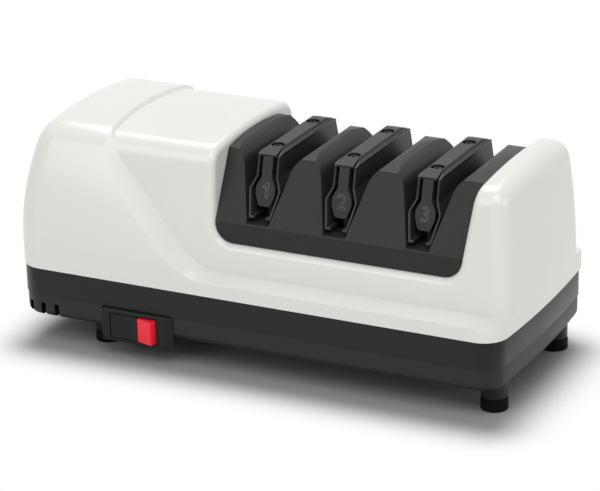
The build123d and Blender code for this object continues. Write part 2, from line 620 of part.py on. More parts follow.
def cord_gland():
    """Inlet bush in the rear wall: collar outside, flange on each side of the wall."""
    wall, (flange, thick) = SIDE, GLAND_FLANGE
    body = rod_y(GLAND_BODY, wall - BASE_WALL, GLAND_END_Y, GLAND_X, GLAND_Z)
    body = body + rod_y(flange, wall, wall + thick, GLAND_X, GLAND_Z)
    body = body + rod_y(flange, wall - BASE_WALL - thick, wall - BASE_WALL, GLAND_X, GLAND_Z)
    return body - rod_y(GLAND_BORE, 0, BASE_WIDTH, GLAND_X, GLAND_Z)


# ================================================================ guide module, cores and leaves
def guide_side(stage, sign, top, grow):
    """One side of a V slot up to the fin's top, as (x, z) points and its rounded shoulder."""
    angle = math.radians(GUIDE_ANGLE)
    radius = FIN_ROUND - grow
    centre_z = top - FIN_ROUND
    tangent_z = centre_z + FIN_ROUND * math.sin(angle)
    centre_x = SLOT_FLOOR_HALF + (tangent_z - SLOT_FLOOR) * math.tan(angle) + FIN_ROUND * math.cos(angle)
    floor_z = SLOT_FLOOR - grow
    floor_x = SLOT_FLOOR_HALF + grow / math.cos(angle) - grow * math.tan(angle)
    half_way = (angle + math.pi / 2) / 2
    arc = [(stage + sign * (centre_x - radius * math.cos(a)), centre_z + radius * math.sin(a))
           for a in (angle, half_way, math.pi / 2)]
    end = (stage + sign * centre_x, SKY)
    return (stage + sign * floor_x, floor_z), arc, end


def slot_outline(index, grow):
    """Outline (x, z) of one V slot, open at the top, grown into the fins by grow."""
    tops = [FIN_END_TOP if outer else FIN_TOP for outer in (index == 0, index == len(STAGES) - 1)]
    edges, ends = [], []
    for sign, top in zip((-1, 1), tops):
        floor, arc, end = guide_side(STAGES[index], sign, top, grow)
        edges += [Line(floor, arc[0]), ThreePointArc(*arc), Line(arc[2], end)]
        ends.append((floor, end))
    edges += [Line(ends[0][0], ends[1][0]), Line(ends[0][1], ends[1][1])]
    return make_face(edges)


def fin_side(inset, top):
    """Outline (y, z) of the module: upright band, leaning fin fronts and a crowned top."""
    low, high = FIN_LOW_Y - inset, FIN_HIGH_Y - inset
    shoulder = top - FIN_DROP - inset
    path = Polyline((-high, shoulder), (-low, FIN_CREASE), (-low, SADDLE_FLOOR), (low, SADDLE_FLOOR),
                    (low, FIN_CREASE), (high, shoulder))
    crown = ThreePointArc((high, shoulder), (0, top - inset), (-high, shoulder))
    return make_face(path.edges() + crown.edges())


def module_shape(inset):
    """The module's solid shape, drawn inset by a wall."""
    first, last = STAGES[0], STAGES[-1]
    ends, middle = fin_side(inset, FIN_END_TOP), fin_side(inset, FIN_TOP)
    fins = along_x(ends, -FAR, first) + along_x(middle, first, last) + along_x(ends, last, FAR)
    body = along_y(saddle_outline(-SLIP - inset), -FAR, FAR) & fins
    for index in range(len(STAGES)):
        body = body - along_y(slot_outline(index, inset), -FAR, FAR)
    return body


def guide_module():
    """Dark guide moulding: four hollow fins, three V slots, pads for its screws."""
    solid = module_shape(0.0)
    body = solid - module_shape(MODULE_WALL)
    margin = SEAT_MARGIN + SADDLE_CORNER / 2
    half = SEAT_WINDOW_Y - SEAT_MARGIN
    body = body - block(SADDLE_LEFT + margin, SADDLE_RIGHT - margin, -half, half,
                        SADDLE_FLOOR - 1, SEAT_Z + MODULE_WALL)
    for x, y in POST_PLACES:
        pad = rod_z(POST_RADIUS, SEAT_Z, SEAT_Z + POST_SCREW_DEPTH + MODULE_WALL, x, y) & solid
        body = body + pad - rod_z(SCREW_BORE, 0, SEAT_Z + POST_SCREW_DEPTH + 1, x, y)
    for stage in STAGES:
        room = DISC_ROOM + DISC_RADIUS
        reach = (FACE_START + DISC_ROOM, FACE_END + DISC_ROOM, HUB_END + DISC_ROOM)
        hub = DISC_FACE_INNER + DISC_ROOM
        space = turned([(-reach[2], 0), (-reach[2], hub), (-reach[1], hub), (-reach[0], room),
                        (reach[0], room), (reach[1], hub), (reach[2], hub), (reach[2], 0)])
        body = body - Pos(stage, 0, 0) * space
    passage = PASSAGE_HALF - 1
    return body - block(-FAR, FAR, -passage, passage, 0, AXIS_Z + passage)


def guide_core(stage):
    """Keyhole-shaped core between the leaves, with legs down to the module's floor."""
    right = [(NECK_HALF, CORE_TOP), (NECK_HALF, NECK_LOW), (BULB_HALF, BULB_HIGH),
             (BULB_HALF, BULB_LOW), (TONGUE_BOTTOM_HALF, TONGUE_BOTTOM)]
    face = polygon(right + [(-x, z) for x, z in reversed(right)])
    corners = [(s * x, z) for x, z in right[1:] for s in (-1, 1)]
    body = along_y(rounded(face, corners, TONGUE_ROUND), -FAR, FAR)
    slope = (CORE_LOW_Y - CORE_HIGH_Y) / (CORE_TOP - TONGUE_BOTTOM)
    low, high = CORE_LOW_Y + slope, CORE_HIGH_Y - slope
    body = body & along_x(polygon([(-low, TONGUE_BOTTOM - 1), (low, TONGUE_BOTTOM - 1),
                                   (high, CORE_TOP + 1), (-high, CORE_TOP + 1)]), -FAR, FAR)
    for sign in (-1, 1):
        y0, y1 = sorted(sign * y for y in LEG_Y)
        body = body + block(-LEG_HALF, LEG_HALF, y0, y1, SLOT_FLOOR, BULB_LOW)
        y = sign * STRIP_SCREW_Y
        body = body - rod_z(STRIP_SCREW[1], CORE_TOP - STRIP_SCREW_LENGTH, CORE_TOP + 1, 0, y)
    return Pos(stage, 0, 0) * body


def top_strip(stage):
    """Bar on top of a core, with two counterbored holes and sloping ends."""
    face = rounded(polygon([(-STRIP_HALF, CORE_TOP), (STRIP_HALF, CORE_TOP), (STRIP_HALF, STRIP_TOP),
                            (-STRIP_HALF, STRIP_TOP)]),
                   [(s * STRIP_HALF, STRIP_TOP) for s in (-1, 1)], STRIP_ROUND)
    back, flat_back = CORE_HIGH_Y + STRIP_BACK, STRIP_FLAT_Y + STRIP_BACK
    side = polygon([(-CORE_HIGH_Y, CORE_TOP), (back, CORE_TOP), (back, STRIP_NOSE),
                    (flat_back, STRIP_TOP), (-STRIP_FLAT_Y, STRIP_TOP), (-CORE_HIGH_Y, STRIP_NOSE)])
    body = along_y(face, -FAR, FAR) & along_x(side, -FAR, FAR)
    for y in (-STRIP_SCREW_Y, STRIP_SCREW_Y):
        body = body - rod_z(STRIP_BORE[0], STRIP_TOP - STRIP_BORE[1], SKY, 0, y)
        body = body - rod_z(STRIP_SCREW[1] + THREAD_CLEARANCE, CORE_TOP - 1, SKY, 0, y)
    return Pos(stage, 0, 0) * body


def strip_screws():
    """The six screws that hold strips and cores."""
    seat = STRIP_TOP - STRIP_BORE[1]
    top = seat + STRIP_BORE[1] * 0.8
    screws = []
    for stage in STAGES:
        for y in (-STRIP_SCREW_Y, STRIP_SCREW_Y):
            head = rod_z(STRIP_SCREW[0], seat, top, stage, y)
            shank = rod_z(STRIP_SCREW[1], CORE_TOP - STRIP_SCREW_LENGTH, seat, stage, y)
            screws.append(head + shank)
    return group(screws)


def leaf(stage, sign):
    """Spring leaf beside a core: hook at the strip, waist, bulge, and toes at its foot."""
    inner = STRIP_HALF + LEAF_GAP
    outer = [LEAF_SHOULDER, LEAF_NECK, LEAF_WAIST, LEAF_BULGE, LEAF_FOOT]
    toe_x = LEAF_FOOT[0] - LEAF_THICKNESS - LEAF_TOE
    toe = [(toe_x, LEAF_FOOT[1]), (toe_x, LEAF_FOOT[1] + LEAF_THICKNESS),
           (LEAF_FOOT[0] - LEAF_THICKNESS, LEAF_FOOT[1] + LEAF_THICKNESS)]
    back = [(x - LEAF_THICKNESS, z) for x, z in reversed(outer[2:4])]
    face = polygon([(inner, LEAF_TOP)] + outer + toe + back + [(inner, LEAF_NECK[1])])
    face = rounded(face, [LEAF_WAIST, LEAF_BULGE] + back, LEAF_BEND)
    side = [(STRIP_FLAT_Y, SKY), (STRIP_FLAT_Y, LEAF_TOP)] + list(LEAF_SIDE) + [(LEAF_SIDE[-1][0], SLOT_FLOOR)]
    rear, front = [(y + LEAF_BACK, z) for y, z in side], [(-y, z) for y, z in reversed(side)]
    body = along_y(face, -FAR, FAR) & along_x(polygon(rear + front), -FAR, FAR)
    body = body - rod_x(DISC_RADIUS + DISC_ROOM, 0, STATOR_SIZE)
    if sign < 0:
        body = mirror(body, Plane.YZ)
    return Pos(stage, 0, 0) * body


# ================================================================ discs, springs and pins
def disc(stage, sign):
    """Truncated-cone disc with a spring pocket in its back and a driving slot in its hub."""
    body = turned([(DISC_BACK, RUN_RADIUS), (DISC_BACK, DISC_RADIUS), (FACE_START, DISC_RADIUS),
                   (FACE_END, DISC_FACE_INNER), (FACE_END, DISC_HUB_RADIUS),
                   (HUB_END, DISC_HUB_RADIUS), (HUB_END, RUN_RADIUS)])
    room = SPRING_WIRE / 2 + SPRING_ROOM
    body = body - ring_x(SPRING_RADIUS + room, SPRING_RADIUS - room, DISC_BACK, DISC_BACK + SPRING_POCKET)
    width = PIN_RADIUS + THREAD_CLEARANCE
    body = body - block(PIN_X - PIN_RADIUS - PIN_END_GAP, HUB_END + 1, -width, width,
                        AXIS_Z - DISC_HUB_RADIUS - 0.5, AXIS_Z + DISC_HUB_RADIUS + 0.5)
    if sign < 0:
        body = mirror(body, Plane.YZ)
    return Pos(stage, 0, 0) * body


def disc_spring(stage):
    """Compression spring between the two discs of a stage."""
    length = 2 * (DISC_BACK + SPRING_POCKET) - SPRING_WIRE - 0.1
    coil = Helix(length / SPRING_TURNS, length, SPRING_RADIUS)
    wire = sweep(Plane(coil @ 0, z_dir=coil % 0) * Circle(SPRING_WIRE / 2), path=coil)
    return Pos(stage - length / 2, 0, AXIS_Z) * Rot(0, 90, 0) * wire


def pin_places():
    """Places of the six driving pins along the shaft."""
    return [stage + sign * PIN_X for stage in STAGES for sign in (-1, 1)]


def drive_shaft():
    """Long shaft from the fan to the far bearing, drilled for the driving pins."""
    body = chamfer(rod_x(SHAFT_RADIUS, *SHAFT_ENDS).edges(), SHAFT_RADIUS / 8)
    for x in pin_places():
        body = body - rod_z(PIN_RADIUS, AXIS_Z - 2 * SHAFT_RADIUS, AXIS_Z + 2 * SHAFT_RADIUS, x, 0)
    return body


def drive_pins():
    """Cross pins that drive the discs and stop them on the outside."""
    return group(rod_z(PIN_RADIUS, AXIS_Z - PIN_REACH, AXIS_Z + PIN_REACH, x, 0) for x in pin_places())


# ================================================================ motor
def motor_square(x0, x1):
    """Square stack with rounded corners, about the shaft axis."""
    return along_x(Pos(0, AXIS_Z) * RectangleRounded(STATOR_SIZE, STATOR_SIZE, STATOR_CORNER), x0, x1)


def stator():
    """Laminated field: square outside, round bore, four slots for the coils, two bolt holes."""
    body = motor_square(*STATOR_X) - rod_x(STATOR_BORE, -FAR, 0)
    for s in (-1, 1):
        for t in (-1, 1):
            y0, y1 = sorted((s * POLE_HALF, s * (COIL_Y[1] + COIL_ROOM)))
            z0, z1 = sorted((t * (COIL_RISE[0] - COIL_ROOM), t * (COIL_RISE[1] + COIL_ROOM)))
            body = body - block(-FAR, 0, y0, y1, AXIS_Z + z0, AXIS_Z + z1)
        body = body - rod_x(BOLT[0] + THREAD_CLEARANCE, -FAR, 0, s * BOLT_Y)
    return body


def field_coils():
    """Two coils, above and below the rotor, wound through the slots."""
    coils = []
    x0, x1 = STATOR_X[0] - COIL_END_GAP, STATOR_X[1] + COIL_END_GAP
    middle, height = (x0 + x1) / 2, COIL_RISE[1] - COIL_RISE[0]
    for side in (-1, 1):
        low = AXIS_Z + min(side * COIL_RISE[0], side * COIL_RISE[1])
        outer = RectangleRounded(x1 - x0 + 2 * COIL_END_LENGTH, 2 * COIL_Y[1], COIL_END_LENGTH)
        inner = RectangleRounded(x1 - x0, 2 * COIL_Y[0], COIL_END_LENGTH / 3)
        coils.append(Pos(middle, 0, low) * extrude(outer - inner, height))
    return group(coils)


def bearing_bracket(plate_x, side):
    """Cross bar with a bearing hub and two legs whose feet point away from the stator."""
    half = BRACKET_THICKNESS / 2
    bar = Pos(0, AXIS_Z) * Rectangle(2 * BRACKET_HALF_WIDTH, 2 * BRACKET_HALF_HEIGHT)
    body = along_x(bar, plate_x - half, plate_x + half)
    foot_x = sorted((plate_x, plate_x + side * (half + BRACKET_FOOT)))
    for s in (-1, 1):
        y0, y1 = sorted((s * BRACKET_HALF_WIDTH, s * (BRACKET_HALF_WIDTH - BRACKET_LEG)))
        body = body + block(plate_x - half, plate_x + half, y0, y1, RIM_HEIGHT, AXIS_Z)
        body = body + block(*foot_x, y0, y1, RIM_HEIGHT, RIM_HEIGHT + BRACKET_THICKNESS)
        body = body - rod_x(BOLT[0] + THREAD_CLEARANCE, -FAR, FAR, s * BOLT_Y)
    body = body + rod_x(HUB_RADIUS, plate_x - BEARING_LENGTH / 2, plate_x + BEARING_LENGTH / 2)
    body = body - rod_x(BEARING_RADIUS, -FAR, FAR)
    for x, y in MOTOR_SCREWS:
        body = body - rod_z(SCREW_BORE, RIM_HEIGHT - 1, RIM_HEIGHT + BRACKET_THICKNESS + 1, x, y)
    return body


def sleeve_bearing(x):
    """Plain bearing bush."""
    return ring_x(BEARING_RADIUS, RUN_RADIUS, x - BEARING_LENGTH / 2, x + BEARING_LENGTH / 2)


def motor_bolts():
    """Two through bolts and their nuts."""
    radius, head, height = BOLT
    ends = (PLATE_REAR - BRACKET_THICKNESS / 2, PLATE_FRONT + BRACKET_THICKNESS / 2)
    pieces = []
    for y in (-BOLT_Y, BOLT_Y):
        shank = rod_x(radius, ends[0], ends[1] + 1.5 * height, y)
        pieces.append(shank + rod_x(head, ends[0] - height, ends[0], y))
        nut = along_x(Pos(y, AXIS_Z) * RegularPolygon(head, 6), ends[1], ends[1] + height)
        pieces.append(nut - rod_x(radius, ends[1] - 1, ends[1] + height + 1, y))
    return group(pieces)


def motor_spacers():
    """Four tubes that hold the brackets clear of the stator."""
    tubes = []
    for y in (-BOLT_Y, BOLT_Y):
        for x0, x1 in ((STATOR_X[0] - BRACKET_GAP, STATOR_X[0]),
                       (STATOR_X[1], STATOR_X[1] + BRACKET_GAP)):
            tubes.append(ring_x(SPACER_RADIUS, BOLT[0] + THREAD_CLEARANCE, x0, x1, y))
    return group(tubes)


def rotor():
    """Rotor stack with a short ring at each end."""
    radius, length = END_RING
    body = rod_x(ROTOR_RADIUS, *STATOR_X) + rod_x(radius, STATOR_X[0] - length, STATOR_X[1] + length)
    return body - rod_x(SHAFT_RADIUS, -FAR, 0)


def fan():
    """Radial cooling fan on the shaft's end."""
    x0, x1 = FAN_X
    body = rod_x(FAN_HUB, x0, x1) + rod_x(FAN_RADIUS, x1 - FAN_PLATE, x1)
    for index in range(FAN_BLADES):
        blade = block(x0, x1, -FAN_PLATE / 2, FAN_PLATE / 2, FAN_HUB / 2, FAN_RADIUS)
        body = body + Pos(0, 0, AXIS_Z) * Rot(index * 360 / FAN_BLADES, 0, 0) * blade
    return (body & rod_x(FAN_RADIUS, x0, x1)) - rod_x(SHAFT_RADIUS, -FAR, 0)


def end_bracket():
    """Upright plate that carries the far bearing."""
    half = BRACKET_THICKNESS / 2
    x0, x1 = END_BEARING_X - half, END_BEARING_X + half
    body = block(x0, x1, -END_BRACKET_HALF, END_BRACKET_HALF, RIM_HEIGHT, AXIS_Z)
    reach = BEARING_LENGTH / 2
    body = body + rod_x(HUB_RADIUS, END_BEARING_X - reach, END_BEARING_X + reach)
    body = body + block(x0, x1 + BRACKET_FOOT, -END_BRACKET_HALF, END_BRACKET_HALF,
                        RIM_HEIGHT, RIM_HEIGHT + BRACKET_THICKNESS)
    body = body - rod_x(BEARING_RADIUS, 0, FAR)
    for x, y in END_SCREWS:
        body = body - rod_z(SCREW_BORE, RIM_HEIGHT - 1, RIM_HEIGHT + BRACKET_THICKNESS + 1, x, y)
    return body


# ================================================================ switch
def switch_body():
    """Bezel with sloping sides and the box behind it that carries the rocker."""
    wall = SIDE
    x0, x1 = SWITCH_X - BEZEL_HALF_LENGTH, SWITCH_X + BEZEL_HALF_LENGTH
    face = polygon([(x0 - BEZEL_SLOPE[0], -wall), (x0, -BEZEL_FACE_Y), (x1, -BEZEL_FACE_Y),
                    (x1 + BEZEL_SLOPE[1], -wall)])
    low, high = SWITCH_Z - BEZEL_HALF_HEIGHT, SWITCH_Z + BEZEL_HALF_HEIGHT
    body = Pos(0, 0, low) * extrude(face, high - low)
    body = fillet(body.faces().sort_by(Axis.Y)[0].edges(), BEZEL_ROUND) + switch_outline(0.0)
    half_x, half_z = ROCKER_REACH + ROCKER_GAP, ROCKER_HALF_HEIGHT + ROCKER_GAP
    body = body - block(SWITCH_X - half_x, SWITCH_X + half_x, -BEZEL_FACE_Y - 1,
                        -wall + SWITCH_DEPTH - SWITCH_BACK, SWITCH_Z - half_z, SWITCH_Z + half_z)
    reach = half_z + AXLE_REACH + ROCKER_GAP
    return body - rod_z(AXLE_RADIUS + RUN_CLEARANCE, SWITCH_Z - reach, SWITCH_Z + reach,
                        SWITCH_X, -ROCKER_PIVOT_Y)


def place_rocker(shape):
    """Put a shape drawn about the rocker's pivot in place, tilted to the left."""
    return Pos(SWITCH_X, -ROCKER_PIVOT_Y, SWITCH_Z) * Rot(0, 0, -ROCKER_TILT) * shape


def rocker_shape():
    """Dished rocker about its pivot, face towards the front."""
    far = 2 * ROCKER_REACH
    edge = ROCKER_FACE + far * math.tan(math.radians(ROCKER_DISH))
    face = polygon([(-far, -edge), (0, -ROCKER_FACE), (far, -edge),
                    (far, ROCKER_BACK), (-far, ROCKER_BACK)])
    face = face & Circle(ROCKER_REACH)
    return Pos(0, 0, -ROCKER_HALF_HEIGHT) * extrude(face, 2 * ROCKER_HALF_HEIGHT)


def lens_space():
    """Part of the rocker that the lens fills: its right end, near the face."""
    return block(LENS_START, ROCKER_REACH, -ROCKER_REACH, LENS_DEPTH - ROCKER_FACE,
                 -ROCKER_HALF_HEIGHT, ROCKER_HALF_HEIGHT)


def rocker():
    """Black rocker with its axle."""
    reach = ROCKER_HALF_HEIGHT + ROCKER_GAP + AXLE_REACH
    axle = rod_z(AXLE_RADIUS, -reach, reach)
    return place_rocker(rocker_shape() - lens_space() + axle)


def rocker_lens():
    """Red lens in the right half of the rocker."""
    return place_rocker((rocker_shape() & lens_space()) - rod_z(AXLE_RADIUS, -SKY, SKY))


def switch_terminals():
    """Three blade terminals on the back of the switch."""
    thick, length, height = TERMINAL
    back, low = -SIDE + SWITCH_DEPTH, PAN_FLOOR + TERMINAL_RISE
    return group(block(SWITCH_X + x - thick / 2, SWITCH_X + x + thick / 2, back, back + length,
                       low, low + height) for x in TERMINAL_X)


# ================================================================ screws
def foot_screws():
    """Screws through the feet and stems into the frame."""
    return group(screw_up(x, y, FOOT_POCKET[1], PAN_FLOOR + FOOT_SCREW_DEPTH) for x, y in FOOT_PLACES)


def cover_screws():
    """Screws through the deck into the cover's bosses."""
    return group(screw_up(x, y, DECK_BOTTOM, RIM_HEIGHT + COVER_SCREW_DEPTH - 1) for x, y in COVER_SCREWS)


def module_screws():
    """Long screws through the posts into the module's pads."""
    return group(screw_up(x, y, DECK_BOTTOM, SEAT_Z + POST_SCREW_DEPTH) for x, y in POST_PLACES)


def bracket_screws(places):
    """Screws through bracket feet into the deck."""
    tip = DECK_BOTTOM - MOTOR_SCREW_DEPTH
    return group(screw_down(x, y, RIM_HEIGHT + BRACKET_THICKNESS, tip) for x, y in places)


# ================================================================ the pieces
save("top_cover", top_cover())
save("base_frame", base_frame())
save("base_pan", base_pan())
for name, (x, y) in zip(("front_left", "back_left", "front_right", "back_right"), FOOT_PLACES):
    save(f"foot_{name}", rubber_foot(x, y))
save("foot_screws", foot_screws())
save("cover_screws", cover_screws())
save("cord_gland", cord_gland())
save("cleanout_cover", cleanout_cover())
save("magnet", magnet())

save("guide_module", guide_module())
save("module_screws", module_screws())
save("strip_screws", strip_screws())
for number, stage in enumerate(STAGES, start=1):
    save(f"guide_core_{number}", guide_core(stage))
    save(f"top_strip_{number}", top_strip(stage))
    save(f"disc_spring_{number}", disc_spring(stage))
    for side, sign in (("left", -1), ("right", 1)):
        save(f"leaf_{number}_{side}", leaf(stage, sign))
        save(f"disc_{number}_{side}", disc(stage, sign))

save("drive_shaft", drive_shaft())
save("drive_pins", drive_pins())
save("rotor", rotor())
save("fan", fan())
save("stator", stator())
save("field_coils", field_coils())
save("bracket_rear", bearing_bracket(PLATE_REAR, -1))
save("bracket_front", bearing_bracket(PLATE_FRONT, 1))
save("bearing_rear", sleeve_bearing(PLATE_REAR))
save("bearing_front", sleeve_bearing(PLATE_FRONT))
save("motor_bolts", motor_bolts())
save("motor_spacers", motor_spacers())
save("motor_screws", bracket_screws(MOTOR_SCREWS))
save("end_bracket", end_bracket())
save("bearing_end", sleeve_bearing(END_BEARING_X))
save("end_screws", bracket_screws(END_SCREWS))

save("switch_body", switch_body())
save("rocker", rocker())
save("rocker_lens", rocker_lens())
save("switch_terminals", switch_terminals())
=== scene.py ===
import math
import bmesh
import bpy
import numpy as np
from mathutils import Matrix, Vector


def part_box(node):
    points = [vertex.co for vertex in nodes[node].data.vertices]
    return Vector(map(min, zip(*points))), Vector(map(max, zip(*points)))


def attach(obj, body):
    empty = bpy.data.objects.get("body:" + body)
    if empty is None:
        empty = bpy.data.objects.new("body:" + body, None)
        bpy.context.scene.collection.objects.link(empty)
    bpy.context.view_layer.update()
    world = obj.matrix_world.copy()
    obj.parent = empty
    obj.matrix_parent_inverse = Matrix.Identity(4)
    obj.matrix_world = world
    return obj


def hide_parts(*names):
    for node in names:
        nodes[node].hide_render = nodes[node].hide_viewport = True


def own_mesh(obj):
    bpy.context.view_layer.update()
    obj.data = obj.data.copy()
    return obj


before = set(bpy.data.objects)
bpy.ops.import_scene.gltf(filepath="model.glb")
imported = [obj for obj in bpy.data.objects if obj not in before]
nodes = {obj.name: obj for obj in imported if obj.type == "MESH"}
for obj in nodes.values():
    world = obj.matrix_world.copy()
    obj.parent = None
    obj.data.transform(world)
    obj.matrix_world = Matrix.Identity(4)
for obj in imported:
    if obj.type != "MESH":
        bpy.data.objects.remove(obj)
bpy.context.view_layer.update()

scene = bpy.context.scene

# ---- Camera
# A long lens set at the right front corner, a little above the machine, aimed at the middle of
# its body. It is turned by a degree about its own axis.
AZIMUTH, ELEVATION, ROLL = (math.radians(a) for a in (26.78, 21.24, -1.35))
AIM = np.array((0.0002, 0.0, 0.0480))
DISTANCE = 1.2592
SENSOR = 36.0
FOCAL_IN_WIDTHS = 4.3712
FARTHEST_SEEN = 50.0
away = np.array((math.sin(AZIMUTH) * math.cos(ELEVATION), -math.cos(AZIMUTH) * math.cos(ELEVATION),
                 math.sin(ELEVATION)))
level = np.array((math.cos(AZIMUTH), math.sin(AZIMUTH), 0.0))
steep = np.cross(away, level)
placing = np.eye(4)
placing[:3, 0] = math.cos(ROLL) * level + math.sin(ROLL) * steep
placing[:3, 1] = math.cos(ROLL) * steep - math.sin(ROLL) * level
placing[:3, 2] = away
placing[:3, 3] = AIM + DISTANCE * away
camera = bpy.data.objects.new("camera", bpy.data.cameras.new("camera"))
camera.data.sensor_width = SENSOR
camera.data.lens = FOCAL_IN_WIDTHS * SENSOR
camera.data.clip_end = FARTHEST_SEEN
camera.matrix_world = Matrix(placing.tolist())
scene.collection.objects.link(camera)
scene.camera = camera
scene.view_settings.view_transform = "Standard"

# ---- Studio
# A sheet of white paper under soft boxes. A painted shadow darkens the paper's colour close around the machine, most
# to its front and right, and a little further out paper and surroundings are plain white, also where a glossy face
# mirrors them.
ROOM_LIGHT = 0.32
PAPER_SIZE, PAPER_ROUGH = 8.0, 0.9
# Painted shadow: the paper's colour is this dark grey at the box round the machine and eases to the paper's own pale
# colour a few centimetres out.
PAINTED_SHADOW_GREY, PAPER_WHITE = 0.36, 0.92
PAINTED_SHADOW_END = 0.04
WHITE_START, WHITE_END = 0.002, 0.037
SOFT_BOXES = (("box_above", (-0.22, 0.42, 1.15), 0.85, 6.5), ("box_key", (0.45, -0.80, 1.25), 0.95, 8.0),
              ("box_front", (-0.75, -1.60, 1.05), 1.1, 7.0), ("box_right", (1.60, -0.20, 0.75), 0.8, 3.5))
BOX_AIM = Vector((0.0, 0.0, 0.05))
# The box round the machine from which the painted shadow and the white are measured. It is shifted to the front and
# right, where the painted shadow falls.
UNDER_MIDDLE, UNDER_HALF = (0.004, -0.010, 0.0), (0.116, 0.045, 0.0)


def new_shader(name):
    """An empty material: its nodes, its links and the shader node that a surface ends in."""
    made = bpy.data.materials.new(name)
    made.use_nodes = True
    return made, made.node_tree.nodes, made.node_tree.links, made.node_tree.nodes["Principled BSDF"]


def shown_rays(wires, joins):
    """1 on rays that show the background: straight to the camera, mirrored, or through something clear."""
    path = wires.new("ShaderNodeLightPath")
    found = path.outputs["Is Camera Ray"]
    for kind in ("Is Glossy Ray", "Is Transmission Ray"):
        either = wires.new("ShaderNodeMath")
        either.operation = "MAXIMUM"
        joins.new(found, either.inputs[0])
        joins.new(path.outputs[kind], either.inputs[1])
        found = either.outputs[0]
    return found


room = bpy.data.worlds.new("studio")
scene.world = room
room.use_nodes = True
wires, joins = room.node_tree.nodes, room.node_tree.links
light = wires["Background"]
light.inputs["Color"].default_value = (1.0, 1.0, 1.0, 1.0)
strength = wires.new("ShaderNodeMapRange")
strength.inputs["To Min"].default_value = ROOM_LIGHT
joins.new(shown_rays(wires, joins), strength.inputs["Value"])
joins.new(strength.outputs["Result"], light.inputs["Strength"])

for name, place, size, power in SOFT_BOXES:
    lamp = bpy.data.objects.new(name, bpy.data.lights.new(name, "AREA"))
    lamp.data.size = size
    lamp.data.energy = power
    lamp.location = place
    lamp.rotation_euler = (BOX_AIM - Vector(place)).to_track_quat("-Z", "Y").to_euler()
    scene.collection.objects.link(lamp)

paper = bpy.data.objects.new("paper", bpy.data.meshes.new("paper"))
half = PAPER_SIZE / 2
paper.data.from_pydata([(-half, -half, 0), (half, -half, 0), (half, half, 0), (-half, half, 0)], [], [(0, 1, 2, 3)])
scene.collection.objects.link(paper)
sheet_finish, wires, joins, shader = new_shader("white_paper")
shader.inputs["Roughness"].default_value = PAPER_ROUGH
white = wires.new("ShaderNodeEmission")
mixed = wires.new("ShaderNodeMixShader")
found = wires.new("ShaderNodeTexCoord").outputs["Object"]
for operation, value in (("SUBTRACT", UNDER_MIDDLE), ("ABSOLUTE", None), ("SUBTRACT", UNDER_HALF),
                         ("MAXIMUM", (0, 0, 0)), ("LENGTH", None)):
    step = wires.new("ShaderNodeVectorMath")
    step.operation = operation
    joins.new(found, step.inputs[0])
    if value is not None:
        step.inputs[1].default_value = value
    found = step.outputs["Value" if operation == "LENGTH" else "Vector"]
ranges = []
# The first range paints the shadow into the paper's colour. The second blends paper and surroundings to plain white on
# rays that show the background.
for start, end, low, high in ((0.0, PAINTED_SHADOW_END, PAINTED_SHADOW_GREY, PAPER_WHITE), (WHITE_START, WHITE_END, 0.0, 1.0)):
    fade = wires.new("ShaderNodeMapRange")
    fade.interpolation_type = "SMOOTHSTEP"
    for socket, value in (("From Min", start), ("From Max", end), ("To Min", low), ("To Max", high)):
        fade.inputs[socket].default_value = value
    joins.new(found, fade.inputs["Value"])
    ranges.append(fade.outputs["Result"])
both = wires.new("ShaderNodeMath")
both.operation = "MULTIPLY"
joins.new(ranges[0], shader.inputs["Base Color"])
joins.new(ranges[1], both.inputs[0])
joins.new(shown_rays(wires, joins), both.inputs[1])
joins.new(both.outputs[0], mixed.inputs["Fac"])
joins.new(shader.outputs["BSDF"], mixed.inputs[1])
joins.new(white.outputs["Emission"], mixed.inputs[2])
joins.new(mixed.outputs["Shader"], wires["Material Output"].inputs["Surface"])
paper.data.materials.append(sheet_finish)

# ---- Cover
# The white cover is injection moulded in one piece and pressed down over the lip of the base. Its
# skin is polished in the mould, so it is glossy, with the faint waviness of a thick moulding.
COVER_WHITE = (0.76, 0.76, 0.72)
COVER_ROUND = 0.0028
EDGE_ANGLE, EDGE_STEPS = math.radians(28.0), 4
WELD = 1e-5
GRAIN = 2200.0


def add_node(wires, kind, inputs=(), **settings):
    """A node with its settings and the starting values of its inputs."""
    made = wires.new(kind)
    for name, value in settings.items():
        setattr(made, name, value)
    for socket, value in dict(inputs).items():
        made.inputs[socket].default_value = value
    return made


def new_group(name, inputs):
    """An empty node group. It takes a colour and the named numbers, and gives colour, roughness and normal."""
    group = bpy.data.node_groups.new(name, "ShaderNodeTree")
    group.interface.new_socket("Color", in_out="INPUT", socket_type="NodeSocketColor")
    for socket in inputs:
        group.interface.new_socket(socket, in_out="INPUT", socket_type="NodeSocketFloat")
    for socket, kind in (("Color", "Color"), ("Roughness", "Float"), ("Normal", "Vector")):
        group.interface.new_socket(socket, in_out="OUTPUT", socket_type="NodeSocket" + kind)
    return group, group.nodes, group.links.new


def drifting(wires, link, pattern, given, put):
    """Colour and roughness that follow a pattern: value 1 + Drift (pattern - 1/2), roughness Gloss times the same."""
    centred = add_node(wires, "ShaderNodeMath", {1: 0.5}, operation="SUBTRACT")
    drift = add_node(wires, "ShaderNodeMath", {2: 1.0}, operation="MULTIPLY_ADD")
    tint = add_node(wires, "ShaderNodeHueSaturation")
    rough = add_node(wires, "ShaderNodeMath", operation="MULTIPLY", use_clamp=True)
    link(pattern, centred.inputs[0])
    link(centred.outputs[0], drift.inputs[0])
    link(given.outputs["Drift"], drift.inputs[1])
    link(drift.outputs[0], tint.inputs["Value"])
    link(given.outputs["Color"], tint.inputs["Color"])
    link(tint.outputs["Color"], put.inputs["Color"])
    link(drift.outputs[0], rough.inputs[0])
    link(given.outputs["Gloss"], rough.inputs[1])
    link(rough.outputs[0], put.inputs["Roughness"])


